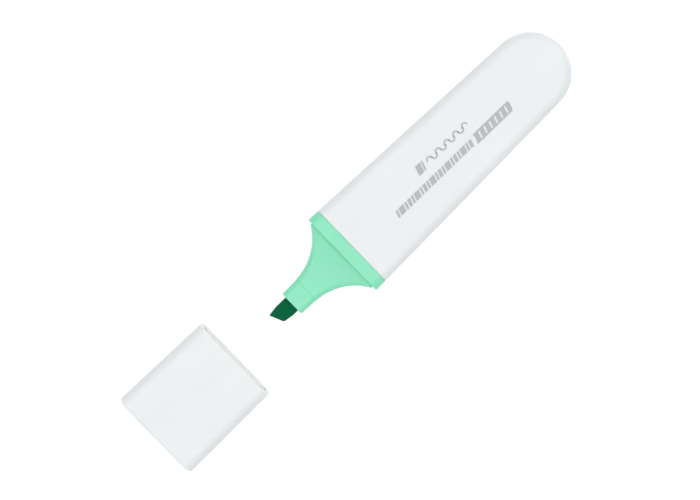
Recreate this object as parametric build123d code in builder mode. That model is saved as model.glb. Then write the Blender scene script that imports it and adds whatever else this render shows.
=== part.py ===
from build123d import *
from math import atan2, cos, hypot, radians, sin, sqrt, tan
import os

# A flat highlighter lying on its back face, with its cap drawn off the nib and left in line with it.
# +X runs along the pen from the nib to the rounded rear of the barrel, +Y across the broad face, +Z up.
# The origin is under the middle of pen and cap together, on the surface that they lie on.
# Stations along the pen are measured from the band's front face. All sizes are in millimetres.

# The outside of pen and cap
body_width = 28.7  # across the broad face, at the band's front face
body_thickness = 15.0
edge_radius = 3.1  # rounding between the broad faces and the sides
side_taper = 1.7  # degrees that each side closes towards the rear
barrel_length = 84.7  # from the band to the rounded rear
band_width = 3.9
cap_flare = 0.5  # how much further out each side of the cap is at its closed end
cap_end_rounding = 1.2  # all round the closed end
cap_gap = 43.9  # from the cap's mouth to the band while the cap is off
joint_chamfer = 0.2  # on the edges that meet at the band

# Neck and nose of the front section
foot_length = 0.5  # the straight foot of the neck, which the cap's mouth closes round
neck_length = 14.0
neck_start_angle = 3.3  # degrees between the flare's start and the pen's axis, seen from above
nose_length = 6.1
nose_width = 8.7
nose_thickness = 7.0
nose_corner = 1.8
nose_draft = 0.18  # how much each side of the nose closes towards the nib
nose_line = 0.12  # step between the flare and the nose
nose_edge = 0.35
neck_stations = 8  # sections that the flare is drawn through

# Walls, fits and snap
barrel_wall = 1.2
section_wall = 1.4
least_corner = 0.4  # inside the neck
web_wall = 1.0  # the two webs beside the nib, which the reservoir rests against
spigot_wall = 1.1
spigot_length = 9.0
cap_wall = 1.4
cap_clearance = 0.1  # between the cap's wall and the neck's foot
fit = 0.03  # clearance between pieces that are pressed together
bead_height = 0.25
bead_length = 1.2
bead_setback = 4.5  # from the barrel's mouth to the middle of the snap bead

# Nib
nib_width = 5.3
nib_thickness = 3.6
nib_reach = 7.4  # from the nose to the apex of the writing edge
nib_slant = 1.9  # how much further forward the apex is than the other corner
nib_side_bend = 3.2  # from the apex back to where the sides start to close
nib_side_close = 0.45
nib_edge_thickness = 1.3
nib_bevel = 4.6  # length of the two bevels that make the writing edge
nib_rounding = 0.3
tail_length = 7.0
tail_share = 0.4  # of the nib's section that is left at the point of its tail
vent_width = 0.9
vent_depth = 0.4

# Ink reservoir
film = 0.2  # thickness of the sleeve round it
reservoir_play = 0.21  # between the sleeve and the spigot's bore
reservoir_side_gap = 1.86  # between the sleeve and the barrel's side, at the reservoir's rear
reservoir_rear_gap = 19.7  # from the reservoir's rear to the end of the barrel
reservoir_flat = 0.5  # half the height that its rounded sides leave flat
rib_width = 0.9
rib_pitch = 10.0
rib_clearance = 0.05
rib_setback = 2.0  # from the spigot's end to the start of the ribs

# Inner cap
inner_cap_wall = 0.9
seal_setback = 1.2  # from the start of the nose to the inner cap's mouth, when the cap is on
nib_room = 2.2  # from the nib to the inner cap's end, when the cap is on
seal_clearance = 0.05
seal_length = 2.5
seal_relief = 0.3
collar_wall = 0.9
collar_length = 4.5

# Places and sizes that follow from these
taper = radians(side_taper)
inner_cap_mouth = foot_length + neck_length + seal_setback
cap_length = foot_length + neck_length + nose_length + nib_reach + nib_room + inner_cap_wall + cap_wall
overall_length = cap_length + cap_gap + band_width + barrel_length
mid_height = body_thickness / 2
band_front = cap_length + cap_gap - overall_length / 2
barrel_front = band_front + band_width
barrel_rear = barrel_front + barrel_length
spigot_rear = barrel_front + spigot_length
bead_middle = barrel_front + bead_setback
foot_front = band_front - foot_length
neck_front = foot_front - neck_length
nose_tip = neck_front - nose_length
nib_apex = nose_tip - nib_reach
reservoir_front = band_front + section_wall
reservoir_rear = barrel_rear - reservoir_rear_gap
cap_mouth = band_front - cap_gap
cap_end = cap_mouth - cap_length
cap_floor = cap_end + cap_wall
cap_inside_width = body_width - 2 * cap_wall
cap_inside_thickness = body_thickness - 2 * cap_wall
shoulder = cap_wall + cap_clearance

# The rear is an arc tangent to both tapered sides
side_to_rear = body_width / 2 * cos(taper) - (barrel_rear - band_front) * sin(taper)
rear_radius = side_to_rear / (1 - sin(taper))


def lying(x):
    """The plane square to the pen's axis at x, with its own x across the pen and its own y up."""
    return Plane(origin=(x, 0, mid_height), x_dir=(0, 1, 0), z_dir=(1, 0, 0))


def half_width(x, inset=0.0):
    """Half the pen's width at x, with the sides moved inwards by inset."""
    return body_width / 2 - (x - band_front) * tan(taper) - inset / cos(taper)


def pen_form(inset, front, rear=None):
    """The barrel's outer form moved inwards by inset, cut square at front, and at rear if it is given."""
    centre = barrel_rear - rear_radius
    round_radius = rear_radius - inset
    meet_x = centre + round_radius * sin(taper)
    meet_y = round_radius * cos(taper)
    half_height = body_thickness / 2 - inset
    with BuildPart() as form:
        with BuildSketch(Plane.XY.offset(mid_height - half_height)):
            with BuildLine():
                Line((front, half_width(front, inset)), (meet_x, meet_y))
                ThreePointArc((meet_x, meet_y), (centre + round_radius, 0), (meet_x, -meet_y))
                Line((meet_x, -meet_y), (front, -half_width(front, inset)))
                Line((front, -half_width(front, inset)), (front, half_width(front, inset)))
            make_face()
        extrude(amount=2 * half_height)
        rims = form.faces().filter_by(Axis.Z).edges().sort_by(Axis.X)[2:]
        fillet(rims, radius=edge_radius - inset)
        if rear is not None:
            split(bisect_by=Plane.YZ.offset(rear), keep=Keep.BOTTOM)
    return form.part


def flare_half(x, nose_half, base_half, start_angle, inset):
    """Half the neck's size at x: an arc from the nose out to the foot, moved inwards by inset."""
    rise = base_half - nose_half
    chord = hypot(neck_length, rise)
    chord_angle = atan2(rise, neck_length)
    radius = chord / (2 * sin(chord_angle - radians(start_angle)))
    centre_x = neck_front - radius * sin(radians(start_angle))
    centre_h = nose_half + radius * cos(radians(start_angle))
    return centre_h - sqrt((radius + inset) ** 2 - (x - centre_x) ** 2)


def neck_section(x, inset):
    """Width, thickness and corner radius of the neck at x, moved inwards by inset."""
    half_y = flare_half(x, nose_width / 2, body_width / 2 - shoulder, neck_start_angle, inset)
    half_z = flare_half(x, nose_thickness / 2, body_thickness / 2 - shoulder, 0, inset)
    growth = (edge_radius - shoulder - nose_corner) * (x - neck_front) / neck_length
    return 2 * half_y, 2 * half_z, max(nose_corner + growth - inset, least_corner)


def neck_form(inset, front):
    """The flared neck from front back to its foot, moved inwards by inset."""
    with BuildPart() as form:
        for step in range(neck_stations):
            x = front + (foot_front - front) * step / (neck_stations - 1)
            with BuildSketch(lying(x)):
                RectangleRounded(*neck_section(x, inset))
        loft()
    return form.part


def nose_size_at(x):
    """Width and thickness of the nose at x."""
    closing = nose_draft * (neck_front - x) / nose_length
    return nose_width - 2 * (nose_line + closing), nose_thickness - 2 * (nose_line + closing)


# The reservoir's section, which the spigot's bore and the barrel's sides leave room for
bore_thickness = body_thickness - 2 * (barrel_wall + fit + spigot_wall)
reservoir_thickness = bore_thickness - 2 * (reservoir_play + film + fit)
reservoir_width = 2 * (half_width(reservoir_rear, barrel_wall) - reservoir_side_gap - film - fit)
reservoir_corner = reservoir_thickness / 2 - reservoir_flat


def reservoir_section(grown=0.0):
    """Width, thickness and corner radius of the reservoir's section, grown on every side."""
    return reservoir_width + 2 * grown, reservoir_thickness + 2 * grown, reservoir_corner + grown


# Barrel: a white shell, closed and rounded at the rear, with ribs along its inside that hold the reservoir
barrel_outside = pen_form(0, barrel_front)
barrel_inside = pen_form(barrel_wall, barrel_front)
bead_groove = pen_form(
    barrel_wall - bead_height - fit, bead_middle - bead_length / 2 - fit, bead_middle + bead_length / 2 + fit
)
rib_front = spigot_rear + rib_setback
rib_limit = pen_form(barrel_wall / 2, rib_front)

with BuildPart() as barrel_ribs:
    with BuildSketch(lying(rib_front)):
        with GridLocations(rib_pitch, 0, 2, 1):
            Rectangle(rib_width, body_thickness)
    extrude(amount=barrel_rear - rib_front)
    with BuildSketch(lying(rib_front)):
        Rectangle(body_width, rib_width)
    extrude(amount=reservoir_rear - rib_front)
    with BuildSketch(lying(rib_front)):
        RectangleRounded(*reservoir_section(fit + film + rib_clearance))
    extrude(amount=reservoir_rear - rib_front, mode=Mode.SUBTRACT)
    add(rib_limit, mode=Mode.INTERSECT)

with BuildPart() as barrel:
    add(barrel_outside)
    mouth_edges = barrel.faces().sort_by(Axis.X)[0].edges()
    chamfer(mouth_edges, joint_chamfer)
    add(barrel_inside, mode=Mode.SUBTRACT)
    add(bead_groove, mode=Mode.SUBTRACT)
    add(barrel_ribs.part)

# Front section: one coloured moulding with the band, neck, nose, and a spigot that snaps into the barrel
band_form = pen_form(0, band_front, barrel_front)
spigot_form = pen_form(barrel_wall + fit, barrel_front, spigot_rear)
bead_form = pen_form(
    barrel_wall + fit - bead_height, bead_middle - bead_length / 2, bead_middle + bead_length / 2
)
spigot_bore = pen_form(barrel_wall + fit + spigot_wall, reservoir_front, spigot_rear)
neck_outside = neck_form(0, neck_front)
neck_inside = neck_form(section_wall, neck_front + section_wall)
neck_middle = neck_form(section_wall / 2, neck_front)

with BuildPart() as nose:
    for x in (nose_tip, neck_front):
        with BuildSketch(lying(x)):
            RectangleRounded(*nose_size_at(x), nose_corner)
    loft()
    fillet(nose.faces().sort_by(Axis.X)[0].edges(), radius=nose_edge)

with BuildPart() as nib_webs:
    with BuildSketch(lying(neck_front)):
        with GridLocations(nib_width + 2 * fit + web_wall, 0, 2, 1):
            Rectangle(web_wall, body_thickness)
    extrude(amount=foot_front - neck_front)
    add(neck_middle, mode=Mode.INTERSECT)
    with BuildSketch(lying(foot_front)):
        with GridLocations(nib_width + 2 * fit + web_wall, 0, 2, 1):
            Rectangle(web_wall, body_thickness - 2 * shoulder - section_wall)
    extrude(amount=reservoir_front - foot_front)

with BuildPart() as front_section:
    add(band_form)
    chamfer(front_section.faces().filter_by(Axis.X).edges(), joint_chamfer)
    add(neck_outside)
    with BuildSketch(lying(foot_front)):
        RectangleRounded(*neck_section(foot_front, 0))
    extrude(amount=foot_length)
    add(nose.part)
    add(spigot_form)
    add(bead_form)
    add(spigot_bore, mode=Mode.SUBTRACT)
    add(neck_inside, mode=Mode.SUBTRACT)
    with BuildSketch(lying(foot_front)):
        RectangleRounded(*neck_section(foot_front, section_wall))
    extrude(amount=reservoir_front - foot_front, mode=Mode.SUBTRACT)
    add(nib_webs.part)
    with BuildSketch(lying(nose_tip)):
        Rectangle(nib_width + 2 * fit, nib_thickness + 2 * fit)
        Rectangle(vent_width, nib_thickness + 2 * (fit + vent_depth))
    extrude(amount=reservoir_front - nose_tip, mode=Mode.SUBTRACT)


def tail_form(clearance):
    """The nib's pointed tail from the reservoir's front face backwards, grown by clearance."""
    with BuildPart() as form:
        for x, share in ((reservoir_front, 1), (reservoir_front + tail_length + clearance, tail_share)):
            with BuildSketch(lying(x)):
                RectangleRounded(
                    share * nib_width + 2 * clearance, share * nib_thickness + 2 * clearance, nib_rounding
                )
        loft()
    return form.part


# Nib: a bonded fibre bar with a slanted writing edge between two bevels, and a tail that draws the ink
half_nib = nib_width / 2
tip_half = half_nib - nib_side_close
edge_direction = Vector(nib_slant, -2 * tip_half, 0).normalized()
bevel_back = Vector(0, 0, 1).cross(edge_direction) * nib_bevel
bevel_rise = Vector(0, 0, (nib_thickness - nib_edge_thickness) / 2)
nib_tail = tail_form(0)

with BuildPart() as nib:
    with BuildSketch(lying(nib_apex)):
        RectangleRounded(nib_width, nib_thickness, nib_rounding)
    extrude(amount=reservoir_front - nib_apex)
    with BuildSketch() as nib_outline:
        with BuildLine():
            Polyline(
                (reservoir_front, half_nib),
                (nib_apex + nib_side_bend, half_nib),
                (nib_apex, tip_half),
                (nib_apex + nib_slant, -tip_half),
                (nib_apex + nib_slant + nib_side_bend, -half_nib),
                (reservoir_front, -half_nib),
                close=True,
            )
        make_face()
        fillet(nib_outline.vertices().sort_by(Axis.X)[:2], radius=nib_rounding)
    extrude(amount=body_thickness, mode=Mode.INTERSECT)
    for side in (1, -1):
        writing_edge = Vector(nib_apex, tip_half, mid_height + side * nib_edge_thickness / 2)
        outwards = edge_direction.cross(bevel_back + bevel_rise * side) * side
        split(bisect_by=Plane(origin=writing_edge, x_dir=edge_direction, z_dir=outwards), keep=Keep.BOTTOM)
    add(nib_tail)

# Ink reservoir: a bar of soft fibre with a pocket that the nib's tail is pushed into
tail_pocket = tail_form(fit)

with BuildPart() as ink_reservoir:
    with BuildSketch(lying(reservoir_front)):
        RectangleRounded(*reservoir_section())
    extrude(amount=reservoir_rear - reservoir_front)
    add(tail_pocket, mode=Mode.SUBTRACT)

# Reservoir wrap: the film sleeve around the fibre
with BuildPart() as reservoir_wrap:
    with BuildSketch(lying(reservoir_front)):
        RectangleRounded(*reservoir_section(fit + film))
        RectangleRounded(*reservoir_section(fit), mode=Mode.SUBTRACT)
    extrude(amount=reservoir_rear - reservoir_front)

# Inner cap: the cup inside the cap that seals round the nose
inner_mouth = cap_mouth - inner_cap_mouth
nose_at_seal = nose_size_at(band_front - inner_cap_mouth)
lip_size = [size + 2 * seal_clearance for size in nose_at_seal]
cup_size = [size + 2 * seal_relief for size in lip_size]
inner_cap_size = [size + 2 * inner_cap_wall for size in cup_size]
inner_cap_corner = nose_corner + inner_cap_wall

with BuildPart() as inner_cap:
    with BuildSketch(lying(cap_floor)):
        RectangleRounded(*inner_cap_size, inner_cap_corner)
    extrude(amount=inner_mouth - cap_floor)
    with BuildSketch(lying(cap_floor + inner_cap_wall)):
        RectangleRounded(*cup_size, nose_corner)
    extrude(amount=inner_mouth - seal_length - cap_floor - inner_cap_wall, mode=Mode.SUBTRACT)
    with BuildSketch(lying(inner_mouth)):
        RectangleRounded(*lip_size, nose_corner)
    extrude(amount=-seal_length, mode=Mode.SUBTRACT)
    chamfer(inner_cap.faces().sort_by(Axis.X)[-1].edges(), seal_relief)

# Cap: a white shell that widens to its closed end, with a collar inside that holds the inner cap
with BuildPart() as cap:
    with BuildSketch():
        with BuildLine():
            mouth_half = body_width / 2
            end_half = mouth_half + cap_flare
            Polyline(
                (cap_mouth, mouth_half),
                (cap_end, end_half),
                (cap_end, -end_half),
                (cap_mouth, -mouth_half),
                close=True,
            )
        make_face()
    extrude(amount=body_thickness)
    rims = cap.faces().filter_by(Axis.Z).edges().sort_by(Axis.Y)
    fillet(rims[:2] + rims[-2:], radius=edge_radius)
    fillet(cap.faces().sort_by(Axis.X)[0].edges(), radius=cap_end_rounding)
    chamfer(cap.faces().sort_by(Axis.X)[-1].edges(), joint_chamfer)
    with BuildSketch(lying(cap_floor)):
        RectangleRounded(cap_inside_width, cap_inside_thickness, edge_radius - cap_wall)
    extrude(amount=cap_mouth - cap_floor, mode=Mode.SUBTRACT)
    with BuildSketch(lying(cap_floor)):
        RectangleRounded(
            *[size + 2 * (fit + collar_wall) for size in inner_cap_size], inner_cap_corner + fit + collar_wall
        )
        RectangleRounded(
            *[size + 2 * fit for size in inner_cap_size], inner_cap_corner + fit, mode=Mode.SUBTRACT
        )
    extrude(amount=collar_length)

pieces = {
    "barrel": barrel,
    "front_section": front_section,
    "nib": nib,
    "ink_reservoir": ink_reservoir,
    "reservoir_wrap": reservoir_wrap,
    "cap": cap,
    "inner_cap": inner_cap,
}
os.makedirs("parts", exist_ok=True)
for name, piece in pieces.items():
    piece.part.label = name
    export_step(piece.part, f"parts/{name}.step")
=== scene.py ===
"""Looks of a flat highlighter that lies on its back face with its cap drawn off the nib."""
import math

import bpy
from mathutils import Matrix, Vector


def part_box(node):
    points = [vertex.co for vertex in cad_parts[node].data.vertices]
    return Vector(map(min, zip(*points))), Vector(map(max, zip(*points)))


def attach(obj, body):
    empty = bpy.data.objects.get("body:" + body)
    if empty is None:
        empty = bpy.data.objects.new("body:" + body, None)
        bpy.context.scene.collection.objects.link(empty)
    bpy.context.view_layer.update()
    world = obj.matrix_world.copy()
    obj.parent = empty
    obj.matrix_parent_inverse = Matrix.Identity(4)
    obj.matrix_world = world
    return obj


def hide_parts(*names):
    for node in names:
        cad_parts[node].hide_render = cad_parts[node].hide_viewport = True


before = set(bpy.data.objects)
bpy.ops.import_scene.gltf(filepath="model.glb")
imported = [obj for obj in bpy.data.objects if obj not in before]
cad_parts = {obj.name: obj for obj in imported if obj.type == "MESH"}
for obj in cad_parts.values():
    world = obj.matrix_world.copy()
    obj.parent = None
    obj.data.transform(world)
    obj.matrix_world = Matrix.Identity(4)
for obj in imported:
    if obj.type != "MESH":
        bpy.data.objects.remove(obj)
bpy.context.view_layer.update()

MM = 0.001

# Places along the pen, in metres
barrel_low, barrel_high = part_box("barrel")
nib_low, nib_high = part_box("nib")
cap_low, cap_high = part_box("cap")
BAND_WIDTH = 3.9 * MM
BAND_FRONT = barrel_low.x - BAND_WIDTH
FACE_HEIGHT = barrel_high.z
MID_HEIGHT = (barrel_low.z + barrel_high.z) / 2
NECK_REACH = 14.5 * MM  # from the band to the start of the nose
NOSE_LINE = BAND_FRONT - NECK_REACH

# The cap's inside, as a box with a little to spare that takes in its walls and floor; painted light goes
# there
CAP_WALL = 1.4 * MM
CAP_INSIDE_WIDTH = 25.9 * MM
CAP_SPARE = 0.02 * MM
CAP_FLOOR = cap_low.x + CAP_WALL
CAP_INSIDE_MIDDLE = ((CAP_FLOOR + cap_high.x) / 2, 0, MID_HEIGHT)
CAP_INSIDE_SIZE = (cap_high.x - CAP_FLOOR, CAP_INSIDE_WIDTH, cap_high.z - 2 * CAP_WALL)
CAP_INSIDE_REACH = [size / 2 + CAP_SPARE for size in CAP_INSIDE_SIZE]

# The camera looks straight down, with the pen's axis rising to the right
PEN_ROLL = math.radians(44.03)
SENSOR_WIDTH = 36.0
CAMERA_HEIGHT = 0.55
VIEW_WIDTH = 206.5 * MM
VIEW_CENTRE = (BAND_FRONT + 2.7 * MM, -0.5 * MM)


# Helpers for modelling ----------------------------------------------------------------------------


def select_only(piece):
    """Leaves one object selected and active."""
    bpy.ops.object.select_all(action="DESELECT")
    piece.select_set(True)
    bpy.context.view_layer.objects.active = piece


def place(piece):
    """Moves an object's place, turn and scale into its mesh."""
    select_only(piece)
    bpy.ops.object.transform_apply(location=True, rotation=True, scale=True)


def apply_modifiers(piece):
    """Applies every modifier in order."""
    select_only(piece)
    for modifier in list(piece.modifiers):
        bpy.ops.object.modifier_apply(modifier=modifier.name)


def join_pieces(name, parts):
    """Joins several shapes into a single piece."""
    select_only(parts[0])
    for part in parts[1:]:
        part.select_set(True)
    bpy.ops.object.join()
    piece = bpy.context.view_layer.objects.active
    piece.name = name
    piece.data.name = name
    return piece


def select_vertices(piece, wanted):
    """Opens a piece in edit mode with only the wanted vertices selected."""
    select_only(piece)
    bpy.ops.object.mode_set(mode="EDIT")
    bpy.ops.mesh.select_mode(type="VERT")
    bpy.ops.mesh.select_all(action="DESELECT")
    bpy.ops.object.mode_set(mode="OBJECT")
    for vertex in piece.data.vertices:
        vertex.select = wanted(vertex.co)
    bpy.ops.object.mode_set(mode="EDIT")


def cut_away(point, normal):
    """In edit mode, cuts off what lies beyond a plane and closes the cut."""
    bpy.ops.mesh.select_all(action="SELECT")
    bpy.ops.mesh.bisect(
        plane_co=point, plane_no=normal.normalized(), use_fill=True, clear_outer=True, threshold=0.001 * MM
    )


# Helpers for materials ----------------------------------------------------------------------------


class Finish:
    """A material with a Principled shader, and short ways to add the textures that vary it."""

    def __init__(self, name, roughness, specular=0.5, **sockets):
        self.material = bpy.data.materials.new(name)
        self.material.use_nodes = True
        self.nodes = self.material.node_tree.nodes
        self.links = self.material.node_tree.links
        self.shader = self.nodes["Principled BSDF"]
        self.shader.inputs["Roughness"].default_value = roughness
        self.shader.inputs["Specular IOR Level"].default_value = specular
        for socket, value in sockets.items():
            self.shader.inputs[socket.replace("_", " ").title()].default_value = value
        self.coordinates = self.nodes.new("ShaderNodeTexCoord").outputs["Object"]

    def mapped(self, stretch):
        """Object coordinates stretched along the axes."""
        mapping = self.nodes.new("ShaderNodeMapping")
        mapping.inputs["Scale"].default_value = stretch
        self.links.new(self.coordinates, mapping.inputs["Vector"])
        return mapping.outputs["Vector"]

    def noise(self, size, detail=2.0, stretch=None):
        """Noise whose cells measure about size, in metres."""
        texture = self.nodes.new("ShaderNodeTexNoise")
        texture.inputs["Scale"].default_value = 1 / size
        texture.inputs["Detail"].default_value = detail
        source = self.mapped(stretch) if stretch else self.coordinates
        self.links.new(source, texture.inputs["Vector"])
        return texture.outputs["Fac"]

    def colour(self, factor, low, high, start=0.3, end=0.7):
        """Base colour that runs from low to high as the factor rises from start to end."""
        ramp = self.nodes.new("ShaderNodeValToRGB")
        ramp.color_ramp.elements[0].position = start
        ramp.color_ramp.elements[0].color = (*low, 1)
        ramp.color_ramp.elements[1].position = end
        ramp.color_ramp.elements[1].color = (*high, 1)
        self.links.new(factor, ramp.inputs["Fac"])
        self.links.new(ramp.outputs["Color"], self.shader.inputs["Base Color"])

    def roughness(self, factor, low, high):
        """Roughness that varies from low to high with the factor."""
        span = self.nodes.new("ShaderNodeMapRange")
        span.inputs["To Min"].default_value = low
        span.inputs["To Max"].default_value = high
        self.links.new(factor, span.inputs["Value"])
        self.links.new(span.outputs["Result"], self.shader.inputs["Roughness"])

    def tint_within(self, middle, reach, tint):
        """Another colour where the surface lies in a box, given by its middle and half its size."""
        position = self.nodes.new("ShaderNodeSeparateXYZ")
        self.links.new(self.coordinates, position.inputs["Vector"])
        mix = self.nodes.new("ShaderNodeMix")
        mix.data_type = "RGBA"
        mix.inputs["B"].default_value = (*tint, 1)
        inside = None
        for axis, centre, half in zip("XYZ", middle, reach):
            near = self.nodes.new("ShaderNodeMath")
            near.operation = "COMPARE"
            near.inputs[1].default_value = centre
            near.inputs[2].default_value = half
            self.links.new(position.outputs[axis], near.inputs[0])
            inside = self.product(inside, near.outputs["Value"])
        self.links.new(inside, mix.inputs["Factor"])
        base = self.shader.inputs["Base Color"]
        self.links.new(base.links[0].from_socket, mix.inputs["A"])
        self.links.new(mix.outputs["Result"], base)

    def product(self, one, other):
        """Two factors multiplied, or the other alone when there is no first one."""
        if one is None:
            return other
        both = self.nodes.new("ShaderNodeMath")
        both.operation = "MULTIPLY"
        self.links.new(one, both.inputs[0])
        self.links.new(other, both.inputs[1])
        return both.outputs["Value"]

    def seam(self, station, width):
        """A soft step, from 0 in front of the station to 1 behind it."""
        position = self.nodes.new("ShaderNodeSeparateXYZ")
        step = self.nodes.new("ShaderNodeMapRange")
        step.interpolation_type = "SMOOTHSTEP"
        step.inputs["From Min"].default_value = station - width / 2
        step.inputs["From Max"].default_value = station + width / 2
        self.links.new(self.coordinates, position.inputs["Vector"])
        self.links.new(position.outputs["X"], step.inputs["Value"])
        return step.outputs["Result"]

    def bump(self, height, depth):
        """Relief of the given depth, in metres."""
        bump = self.nodes.new("ShaderNodeBump")
        bump.inputs["Distance"].default_value = depth
        self.links.new(height, bump.inputs["Height"])
        previous = self.shader.inputs["Normal"].links
        if previous:
            self.links.new(previous[0].from_socket, bump.inputs["Normal"])
        self.links.new(bump.outputs["Normal"], self.shader.inputs["Normal"])


PLASTIC_GLOW = 0.3  # share of the light that goes in and comes out again
PLASTIC_DEPTH = 1.5 * MM  # how far it goes in
PLASTIC_TINT = (1.0, 0.93, 0.8)
FLOW_SIZE = 9 * MM
WEAR_SIZE = 3 * MM
SINK_SIZE = 2.5 * MM
SINK_DEPTH = 0.01 * MM
FLOW_STRETCH = (0.35, 1, 1)  # the flow runs along the pen
GRAIN_SIZE = 0.16 * MM
GRAIN_DEPTH = 0.003 * MM
SEAM_WIDTH = 0.35 * MM
SEAM_DEPTH = 0.07 * MM


def moulded_plastic(name, low, high, roughness):
    """Injection-moulded plastic: an even colour with faint flow, a satin grain and some light within it."""
    finish = Finish(name, roughness, subsurface_weight=PLASTIC_GLOW, subsurface_scale=PLASTIC_DEPTH)
    finish.shader.inputs["Subsurface Radius"].default_value = PLASTIC_TINT
    finish.colour(finish.noise(FLOW_SIZE, detail=3, stretch=FLOW_STRETCH), low, high)
    finish.roughness(finish.noise(WEAR_SIZE), roughness - 0.04, roughness + 0.05)
    finish.bump(finish.noise(SINK_SIZE, detail=1), SINK_DEPTH)
    finish.bump(finish.noise(GRAIN_SIZE, detail=2), GRAIN_DEPTH)
    return finish


def seamed_plastic(name, low, high, roughness, station):
    """Moulded plastic with a faint step round it at one station, where two parts of the mould meet."""
    finish = moulded_plastic(name, low, high, roughness)
    finish.bump(finish.seam(station, SEAM_WIDTH), SEAM_DEPTH)
    return finish


STRAND_SIZE = 0.11 * MM
STRAND_DEPTH = 0.02 * MM
STRAND_STRETCH = (0.12, 1, 1)  # strands run along the pen
TUFT_SIZE = 0.5 * MM
TUFT_DEPTH = 0.04 * MM


def bonded_felt(name, dark, light):
    """Bonded fibre: strands that run along the pen, matt and slightly open."""
    finish = Finish(name, roughness=0.85, specular=0.1)
    strands = finish.noise(STRAND_SIZE, detail=4, stretch=STRAND_STRETCH)
    finish.colour(strands, dark, light, start=0.32, end=0.68)
    finish.bump(finish.noise(TUFT_SIZE, detail=3), TUFT_DEPTH)
    finish.bump(strands, STRAND_DEPTH)
    return finish


INK_PATCH_SIZE = 0.25 * MM
INK_GRAIN_SIZE = 0.12 * MM
INK_GRAIN_DEPTH = 0.002 * MM


def pad_print(name, low, high):
    """Thin printed ink with a faintly uneven cover."""
    finish = Finish(name, roughness=0.5, specular=0.4)
    finish.colour(finish.noise(INK_PATCH_SIZE, detail=4), low, high)
    finish.bump(finish.noise(INK_GRAIN_SIZE), INK_GRAIN_DEPTH)
    return finish


def assign(piece, material):
    """Gives every slot of a piece one material."""
    if not piece.material_slots:
        piece.data.materials.append(material)
    for slot in piece.material_slots:
        slot.material = material


# Pieces -------------------------------------------------------------------------------------------

NIB_SLANT = 1.9 * MM
NIB_SIDE_BEND = 3.2 * MM
NIB_SIDE_CLOSE = 0.45 * MM
NIB_EDGE_THICKNESS = 1.3 * MM
NIB_BEVEL = 4.6 * MM
NIB_TAIL = 7.0 * MM
NIB_TAIL_SHARE = 0.4
NIB_ROUNDING = 0.25 * MM
NIB_MESH_SIZE = 0.14 * MM
NIB_FUZZ_SIZE = 0.45 * MM
NIB_FUZZ_DEPTH = 0.06 * MM


def chisel_nib():
    """The felt nib: a bar cut to a slanted chisel in front and drawn to a point behind."""
    size = nib_high - nib_low
    half_width = size.y / 2
    half_height = size.z / 2
    bpy.ops.mesh.primitive_cube_add(size=1, location=(nib_low + nib_high) / 2, scale=size)
    nib = bpy.context.object
    nib.name = "felt_nib"
    place(nib)
    bpy.ops.object.mode_set(mode="EDIT")
    apex = Vector((nib_low.x, half_width - NIB_SIDE_CLOSE, MID_HEIGHT))
    corner = Vector((nib_low.x + NIB_SLANT, -half_width + NIB_SIDE_CLOSE, MID_HEIGHT))
    edge = (corner - apex).normalized()
    up = Vector((0, 0, 1))
    back = up.cross(edge)
    cut_away(apex, -back)
    for point, side in ((apex, 1), (corner, -1)):
        bend = Vector((point.x + NIB_SIDE_BEND, side * half_width, MID_HEIGHT))
        cut_away(bend, Vector((-NIB_SIDE_CLOSE, side * NIB_SIDE_BEND, 0)))
    rise = half_height - NIB_EDGE_THICKNESS / 2
    for side in (1, -1):
        shoulder = apex + side * up * NIB_EDGE_THICKNESS / 2
        cut_away(shoulder, up * side * NIB_BEVEL - back * rise)
    tail_start = nib_high.x - NIB_TAIL
    for across, half in ((Vector((0, 1, 0)), half_width), (up, half_height)):
        for side in (1, -1):
            point = Vector((tail_start, 0, MID_HEIGHT)) + across * side * half
            lean = half * (1 - NIB_TAIL_SHARE)
            cut_away(point, across * side * NIB_TAIL + Vector((lean, 0, 0)))
    bpy.ops.mesh.select_all(action="SELECT")
    bpy.ops.mesh.remove_doubles(threshold=0.01 * MM)
    bpy.ops.mesh.bevel(offset=NIB_ROUNDING, segments=3, affect="EDGES")
    bpy.ops.mesh.normals_make_consistent(inside=False)
    bpy.ops.object.mode_set(mode="OBJECT")
    remesh = nib.modifiers.new("even mesh", "REMESH")
    remesh.mode = "VOXEL"
    remesh.voxel_size = NIB_MESH_SIZE
    soft = nib.modifiers.new("soft edges", "SMOOTH")
    soft.factor = 0.5
    soft.iterations = 3
    fuzz = bpy.data.textures.new("felt fuzz", "CLOUDS")
    fuzz.noise_scale = NIB_FUZZ_SIZE
    fuzz.noise_depth = 2
    nap = nib.modifiers.new("felt surface", "DISPLACE")
    nap.texture = fuzz
    nap.texture_coords = "LOCAL"
    nap.strength = NIB_FUZZ_DEPTH
    nap.mid_level = 0.6
    apply_modifiers(nib)
    bpy.ops.object.shade_smooth()
    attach(nib, "pen_body")
    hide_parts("nib")
    return nib


PRINT_HEIGHT = 0.02 * MM
PRINT_SINK = 0.01 * MM  # how far the ink's underside lies in the face, so that no gap shows
PRINT_LEAN = 0.3  # how far a stroke leans towards the rear, for each unit of its height
RING_CORNERS = 48

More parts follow.
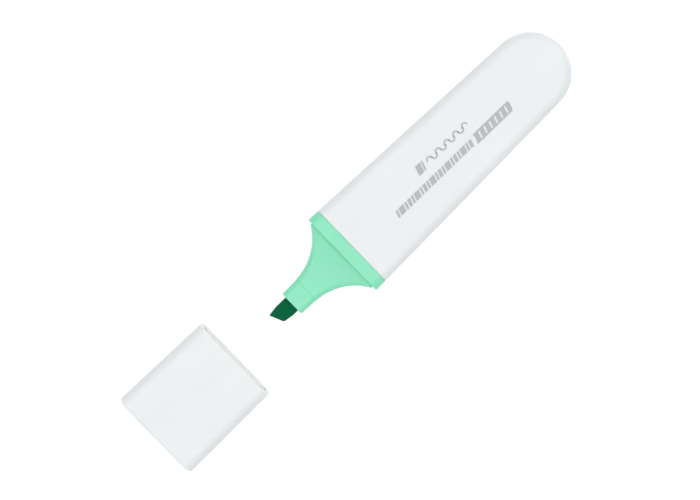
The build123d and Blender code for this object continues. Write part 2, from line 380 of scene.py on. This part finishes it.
# The pattern's rows: middles across the barrel, and starts measured from the barrel's front
LOWER_ROW = -2.7 * MM
UPPER_ROW = 2.3 * MM
STROKES_START = 15.5 * MM
STROKE_BEAT = (0.7 * MM, 1.9 * MM, 0.7 * MM, 1.1 * MM)
STROKE_BEATS = 5
STROKE_GAP = 0.44 * MM
STROKE_HEIGHT = 2.2 * MM
BLOCK_START = 47.3 * MM
BLOCK_LENGTH = 14.1 * MM
BLOCK_HEIGHT = 3.05 * MM
BLOCK_RAIL = 0.5 * MM
BLOCK_STRIPES = (1.5 * MM,) * 7
BLOCK_GAP = 0.6 * MM
MARK_START = 28.3 * MM
MARK_STRIPES = (1.9 * MM, 0.55 * MM)
MARK_GAP = 0.35 * MM
MARK_HEIGHT = 2.9 * MM
WAVE_START = 33.8 * MM
WAVE_RADIUS = 0.88 * MM
WAVE_WIDTH = 0.45 * MM
WAVE_RINGS = 9


def raise_print(flat):
    """Gives a flat shape that is in edit mode the thickness of the ink, and leaves edit mode."""
    bpy.ops.mesh.select_all(action="SELECT")
    bpy.ops.mesh.extrude_region_move(TRANSFORM_OT_translate={"value": (0, 0, PRINT_HEIGHT + PRINT_SINK)})
    bpy.ops.mesh.select_all(action="SELECT")
    bpy.ops.mesh.normals_make_consistent(inside=False)
    bpy.ops.object.mode_set(mode="OBJECT")
    return flat


def slanted_bar(start, length, middle, height):
    """A printed bar on the barrel's face, from start to the rear, whose ends lean towards the rear."""
    location = (barrel_low.x + start + length / 2, middle, FACE_HEIGHT - PRINT_SINK)
    bpy.ops.mesh.primitive_plane_add(size=1, location=location)
    bar = bpy.context.object
    bar.scale = (length, height, 1)
    place(bar)
    select_vertices(bar, lambda corner: corner.y > middle)
    bpy.ops.transform.translate(value=(PRINT_LEAN * height, 0, 0))
    return raise_print(bar)


def half_ring(middle_x, middle_y, radius, width, side):
    """A printed half ring that bulges to one side of the row it stands in."""
    centre = (barrel_low.x + middle_x, middle_y, FACE_HEIGHT - PRINT_SINK)
    inner = radius - width / 2
    outer = radius + width / 2
    bpy.ops.mesh.primitive_circle_add(
        vertices=RING_CORNERS, radius=inner, fill_type="NOTHING", location=centre
    )
    arc = bpy.context.object
    place(arc)
    bpy.ops.object.mode_set(mode="EDIT")
    bpy.ops.mesh.select_all(action="SELECT")
    bpy.ops.mesh.bisect(plane_co=centre, plane_no=(0, side, 0), clear_inner=True)
    bpy.ops.mesh.select_all(action="SELECT")
    bpy.ops.mesh.extrude_region_move()
    bpy.ops.transform.resize(value=(outer / inner, outer / inner, 1), center_override=centre)
    return raise_print(arc)


def printed(name, strokes, material):
    """Joins printed strokes into one piece on the barrel."""
    piece = join_pieces(name, strokes)
    assign(piece, material)
    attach(piece, "pen_body")


def stroke_row(start, widths, gap, middle, height):
    """Slanted bars of the given widths, side by side from start to the rear."""
    bars = []
    for width in widths:
        bars.append(slanted_bar(start, width, middle, height))
        start += width + gap
    return bars


def striped_block():
    """A leaning block: a rail along each side, with stripes between them."""
    reach = (BLOCK_HEIGHT - BLOCK_RAIL) / 2
    lean = PRINT_LEAN * reach
    rails = []
    for side in (1, -1):
        start = BLOCK_START + side * lean
        rails.append(slanted_bar(start, BLOCK_LENGTH, LOWER_ROW + side * reach, BLOCK_RAIL))
    height = BLOCK_HEIGHT - 2 * BLOCK_RAIL
    return rails + stroke_row(BLOCK_START, BLOCK_STRIPES, BLOCK_GAP, LOWER_ROW, height)


def wavy_line():
    """Half rings in a row that bulge to either side in turn."""
    rings = []
    for step in range(WAVE_RINGS):
        middle = WAVE_START + 2 * WAVE_RADIUS * step
        rings.append(half_ring(middle, UPPER_ROW, WAVE_RADIUS, WAVE_WIDTH, (-1) ** step))
    return rings


def barrel_print(material):
    """A plain pattern of strokes, a striped block and a wavy line, in place of any words."""
    strokes = stroke_row(STROKES_START, STROKE_BEAT * STROKE_BEATS, STROKE_GAP, LOWER_ROW, STROKE_HEIGHT)
    printed("stroke_row_print", strokes, material)
    printed("block_print", striped_block(), material)
    mark = stroke_row(MARK_START, MARK_STRIPES, MARK_GAP, UPPER_ROW, MARK_HEIGHT)
    printed("mark_print", mark, material)
    printed("wave_print", wavy_line(), material)


# Stage --------------------------------------------------------------------------------------------

FLOOR_SIZE = 6.0
FLOOR_GREY = 0.25
HORIZON_LIGHT = 0.2
ZENITH_LIGHT = 1.0
FLOOR_GLOW = 0.85
SOFTBOXES = (  # name, place, size and power
    ("overhead light", (0.0, 0, 1.1), (2.0, 0.9), 6.4),
    ("rear light", (1.0, 0, 0.45), (0.9, 0.5), 2.2),
    ("cap light", (-1.0, 0, 0.3), (0.9, 0.4), 1.6),
)


def studio():
    """A softly lit white table under one broad overhead light, with a lower light beyond each end."""
    bpy.ops.mesh.primitive_plane_add(size=FLOOR_SIZE, location=(0, 0, 0))
    floor = bpy.context.object
    floor.name = "studio_floor"
    paper = Finish("studio paper", roughness=0.9, specular=0.0)
    paper.shader.inputs["Base Color"].default_value = (FLOOR_GREY, FLOOR_GREY, FLOOR_GREY, 1)
    paper.shader.inputs["Emission Color"].default_value = (1, 1, 1, 1)
    paper.shader.inputs["Emission Strength"].default_value = FLOOR_GLOW
    assign(floor, paper.material)
    bpy.context.scene.world = studio_air()
    for name, location, size, power in SOFTBOXES:
        softbox(name, location, size, power)


def studio_air():
    """White light from all around, brighter overhead than at the horizon."""
    world = bpy.data.worlds.new("studio air")
    world.use_nodes = True
    nodes = world.node_tree.nodes
    link = world.node_tree.links.new
    around = nodes.new("ShaderNodeTexCoord")
    height = nodes.new("ShaderNodeSeparateXYZ")
    light = nodes.new("ShaderNodeMapRange")
    light.inputs["To Min"].default_value = HORIZON_LIGHT
    light.inputs["To Max"].default_value = ZENITH_LIGHT
    link(around.outputs["Generated"], height.inputs["Vector"])
    link(height.outputs["Z"], light.inputs["Value"])
    link(light.outputs["Result"], nodes["Background"].inputs["Strength"])
    nodes["Background"].inputs["Color"].default_value = (1, 1, 1, 1)
    return world


def softbox(name, location, size, power):
    """A rectangular area light that faces the pen."""
    light = bpy.data.lights.new(name, "AREA")
    light.shape = "RECTANGLE"
    light.size, light.size_y = size
    light.energy = power
    holder = bpy.data.objects.new(name, light)
    holder.location = location
    holder.rotation_euler = (-Vector(location)).to_track_quat("-Z", "Y").to_euler()
    bpy.context.scene.collection.objects.link(holder)


def overhead_camera():
    """A long lens straight above the pen, rolled so that the pen lies across the frame."""
    camera = bpy.data.objects.new("camera", bpy.data.cameras.new("camera"))
    camera.data.sensor_width = SENSOR_WIDTH
    camera.data.lens = SENSOR_WIDTH * (CAMERA_HEIGHT - MID_HEIGHT) / VIEW_WIDTH
    camera.location = (*VIEW_CENTRE, CAMERA_HEIGHT)
    camera.rotation_euler = (0, 0, -PEN_ROLL)
    bpy.context.scene.collection.objects.link(camera)
    bpy.context.scene.camera = camera


# The whole picture --------------------------------------------------------------------------------

overhead_camera()
studio()
bpy.context.scene.view_settings.view_transform = "Standard"

# Pairs of base colours between which each material varies
WHITES = ((0.695, 0.722, 0.732), (0.713, 0.74, 0.75))
MINTS = ((0.213, 0.68, 0.447), (0.228, 0.705, 0.467))
NATURALS = ((0.72, 0.73, 0.65), (0.75, 0.76, 0.68))
FILMS = ((0.7, 0.74, 0.72), (0.73, 0.77, 0.75))
WET_FELTS = ((0.0003, 0.085, 0.03), (0.0006, 0.135, 0.05))
WET_FIBRES = ((0.12, 0.6, 0.32), (0.18, 0.7, 0.4))
GREYS = ((0.38, 0.385, 0.39), (0.43, 0.435, 0.44))
# Painted light: the cap's inside is coloured lighter and warmer than its white plastic, to stand in for
# light through the thin walls and warm bounce
INSIDE_PAINTED_LIGHT = (0.96, 0.975, 0.92)

white = moulded_plastic("white satin plastic", *WHITES, roughness=0.38)
cap_white = moulded_plastic("white cap plastic", *WHITES, roughness=0.38)
# Painted light inside the cap: lighter and warmer than the outside of the same plastic
cap_white.tint_within(CAP_INSIDE_MIDDLE, CAP_INSIDE_REACH, INSIDE_PAINTED_LIGHT)
mint = seamed_plastic("mint satin plastic", *MINTS, roughness=0.36, station=NOSE_LINE)
natural = moulded_plastic("natural soft plastic", *NATURALS, roughness=0.45)
sleeve = moulded_plastic("clear sleeve film", *FILMS, roughness=0.2)
felt = bonded_felt("inked felt", *WET_FELTS)
fibre = bonded_felt("inked fibre", *WET_FIBRES)
ink = pad_print("grey print", *GREYS)

for node, finish in (
    ("barrel", white),
    ("cap", cap_white),
    ("front_section", mint),
    ("inner_cap", natural),
    ("reservoir_wrap", sleeve),
    ("ink_reservoir", fibre),
):
    assign(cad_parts[node], finish.material)

assign(chisel_nib(), felt.material)
barrel_print(ink.material)
